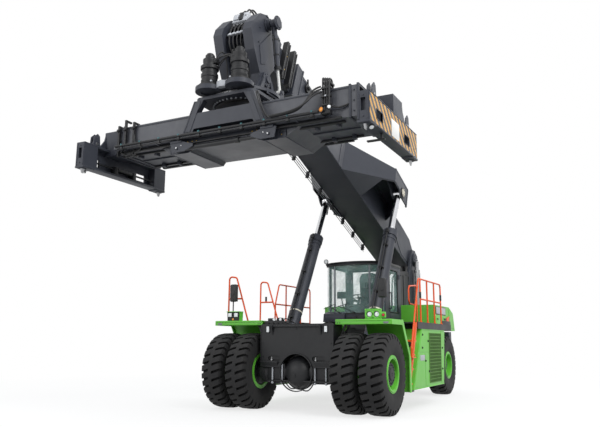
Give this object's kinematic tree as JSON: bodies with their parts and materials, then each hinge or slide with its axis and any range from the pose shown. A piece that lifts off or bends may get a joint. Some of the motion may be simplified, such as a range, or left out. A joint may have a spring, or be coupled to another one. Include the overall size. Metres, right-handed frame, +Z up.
{
  "type": "reach stacker",
  "caption": "Container-lifting truck with a low cab ahead of a telescopic boom that carries a slewing container spreader; booms, spreader, wheels, steering and door move.",
  "frame": {"origin": "on the ground, under the middle of the machine's outline box", "axes": "+X ahead, towards the spreader; +Y to the machine's left; +Z up"},
  "size_m": [11.439, 6.053, 7.7015],
  "materials": {
    "anthracite_paint": "semi-gloss enamel",
    "black_paint": "semi-gloss enamel",
    "green_paint": "gloss enamel",
    "orange_paint": "gloss enamel",
    "tyre_rubber": "worn rubber",
    "cab_glass": "tinted",
    "rod_chrome": "ground and plated",
    "bare_steel": "brushed",
    "cab_plastic": "grained",
    "black_plastic": "grained",
    "pad_plastic": "machined nylon",
    "lamp_lens": "clear lens"
  },
  "bodies": {
    "chassis": {"main_frame": "black_paint", "front_axle": "black_paint", "front_bumper": "anthracite_paint", "headlamps": "lamp_lens", "rear_axle": "black_paint", "left_fender": "green_paint", "right_fender": "green_paint", "walkways": "black_paint", "steps": "orange_paint", "handrails": "orange_paint", "light_boxes": "green_paint", "mirrors": "black_plastic", "left_side_box": "green_paint", "right_side_box": "green_paint", "engine_hood": "green_paint", "engine_block": "black_paint", "counterweight": "anthracite_paint", "boom_tower": "anthracite_paint", "exhaust_stack": "bare_steel", "cab_shell": "anthracite_paint", "cab_glass": "cab_glass", "driver_seat": "cab_plastic", "control_console": "cab_plastic"},
    "left_front_wheels": {"left_front_tyres": "tyre_rubber", "left_front_rims": "green_paint", "left_front_hub": "black_paint"},
    "right_front_wheels": {"right_front_tyres": "tyre_rubber", "right_front_rims": "green_paint", "right_front_hub": "black_paint"},
    "left_knuckle": {"left_knuckle": "black_paint"},
    "right_knuckle": {"right_knuckle": "black_paint"},
    "left_rear_wheel": {"left_rear_tyre": "tyre_rubber", "left_rear_rim": "green_paint"},
    "right_rear_wheel": {"right_rear_tyre": "tyre_rubber", "right_rear_rim": "green_paint"},
    "cab_door": {"cab_door": "anthracite_paint", "door_glass": "cab_glass"},
    "boom": {"base_boom": "anthracite_paint", "boom_wear_pads": "pad_plastic", "boom_wings": "anthracite_paint"},
    "inner_boom": {"inner_boom": "anthracite_paint", "boom_head": "anthracite_paint"},
    "lift_barrels": {"lift_barrels": "anthracite_paint"},
    "lift_rods": {"lift_rods": "rod_chrome"},
    "tilt_barrels": {"tilt_barrels": "anthracite_paint"},
    "tilt_rods": {"tilt_rods": "rod_chrome"},
    "rotator": {"rotator_yoke": "black_paint", "swing_motors": "black_paint"},
    "slew_frame": {"slewing_ring": "black_paint", "slew_frame": "anthracite_paint"},
    "spreader": {"spreader_frame": "anthracite_paint"},
    "left_arm": {"left_arm": "anthracite_paint", "left_twistlocks": "anthracite_paint"},
    "right_arm": {"right_arm": "anthracite_paint", "right_twistlocks": "anthracite_paint"}
  },
  "joints": [
    {"name": "left_front_spin", "type": "hinge", "parent": "chassis", "child": "left_front_wheels", "pos_m": [1.9805, 1.208, 0.807], "axis": [0, 1, 0], "continuous": true},
    {"name": "right_front_spin", "type": "hinge", "parent": "chassis", "child": "right_front_wheels", "pos_m": [1.9805, -1.208, 0.807], "axis": [0, 1, 0], "continuous": true},
    {"name": "left_steer", "type": "hinge", "parent": "chassis", "child": "left_knuckle", "pos_m": [-4.0195, 1.02, 0.807], "axis": [0, 0, 1], "range_deg": [-60, 60]},
    {"name": "right_steer", "type": "hinge", "parent": "chassis", "child": "right_knuckle", "pos_m": [-4.0195, -1.02, 0.807], "axis": [0, 0, 1], "range_deg": [-60, 60]},
    {"name": "left_rear_spin", "type": "hinge", "parent": "left_knuckle", "child": "left_rear_wheel", "pos_m": [-4.0195, 1.375, 0.807], "axis": [0, 1, 0], "continuous": true},
    {"name": "right_rear_spin", "type": "hinge", "parent": "right_knuckle", "child": "right_rear_wheel", "pos_m": [-4.0195, -1.375, 0.807], "axis": [0, 1, 0], "continuous": true},
    {"name": "cab_door_swing", "type": "hinge", "parent": "chassis", "child": "cab_door", "pos_m": [-2.2065, 0.7963, 2.7], "axis": [0, 0, 1], "range_deg": [0, 80]},
    {"name": "boom_lift", "type": "hinge", "parent": "chassis", "child": "boom", "pos_m": [-4.5195, 0, 3.9], "axis": [0, -1, 0], "range_deg": [-18, 40]},
    {"name": "boom_extend", "type": "slide", "parent": "boom", "child": "inner_boom", "axis": [-0.9385, 0, -0.3453], "range_m": [-6.2, 0]},
    {"name": "lift_barrel_swing", "type": "hinge", "parent": "chassis", "child": "lift_barrels", "pos_m": [0.8805, 0, 1.1], "axis": [0, -1, 0], "range_deg": [-1.1, 2.4]},
    {"name": "lift_rod_slide", "type": "slide", "parent": "lift_barrels", "child": "lift_rods", "axis": [-0.5006, 0, 0.8657], "range_m": [-1.004, 2.231]},
    {"name": "tilt_barrel_swing", "type": "hinge", "parent": "inner_boom", "child": "tilt_barrels", "pos_m": [4.38644, 0, 7.49641], "axis": [0, -1, 0], "range_deg": [-4.8, 2.2]},
    {"name": "tilt_rod_slide", "type": "slide", "parent": "tilt_barrels", "child": "tilt_rods", "axis": [-0.1867, 0, -0.9824], "range_m": [-0.251, 0.113]},
    {"name": "rotator_level", "type": "hinge", "parent": "inner_boom", "child": "rotator", "pos_m": [4.5005, 0, 6.3], "axis": [0, -1, 0], "range_deg": [-40, 18]},
    {"name": "slew", "type": "hinge", "parent": "rotator", "child": "slew_frame", "pos_m": [4.5005, 0, 5.9597], "axis": [0, 0, 1], "range_deg": [-105, 195]},
    {"name": "side_shift", "type": "slide", "parent": "slew_frame", "child": "spreader", "axis": [0, 1, 0], "range_m": [-0.8, 0.8]},
    {"name": "left_arm_extend", "type": "slide", "parent": "spreader", "child": "left_arm", "axis": [0, 1, 0], "range_m": [0, 3.066]},
    {"name": "right_arm_extend", "type": "slide", "parent": "spreader", "child": "right_arm", "axis": [0, -1, 0], "range_m": [0, 3.066]}
  ],
  "couplings": [
    {"joint": "rotator_level", "follows": "boom_lift", "ratio": -1},
    {"joint": "lift_barrel_swing", "follows": "boom_lift", "ratio": 0.0585},
    {"joint": "lift_rod_slide", "follows": "boom_lift", "m_per_rad": 3.1948},
    {"joint": "tilt_barrel_swing", "follows": "boom_lift", "ratio": -0.1184},
    {"joint": "tilt_rod_slide", "follows": "boom_lift", "m_per_rad": -0.3594},
    {"joint": "right_steer", "follows": "left_steer", "ratio": 1},
    {"joint": "right_arm_extend", "follows": "left_arm_extend", "ratio": 1}
  ]
}
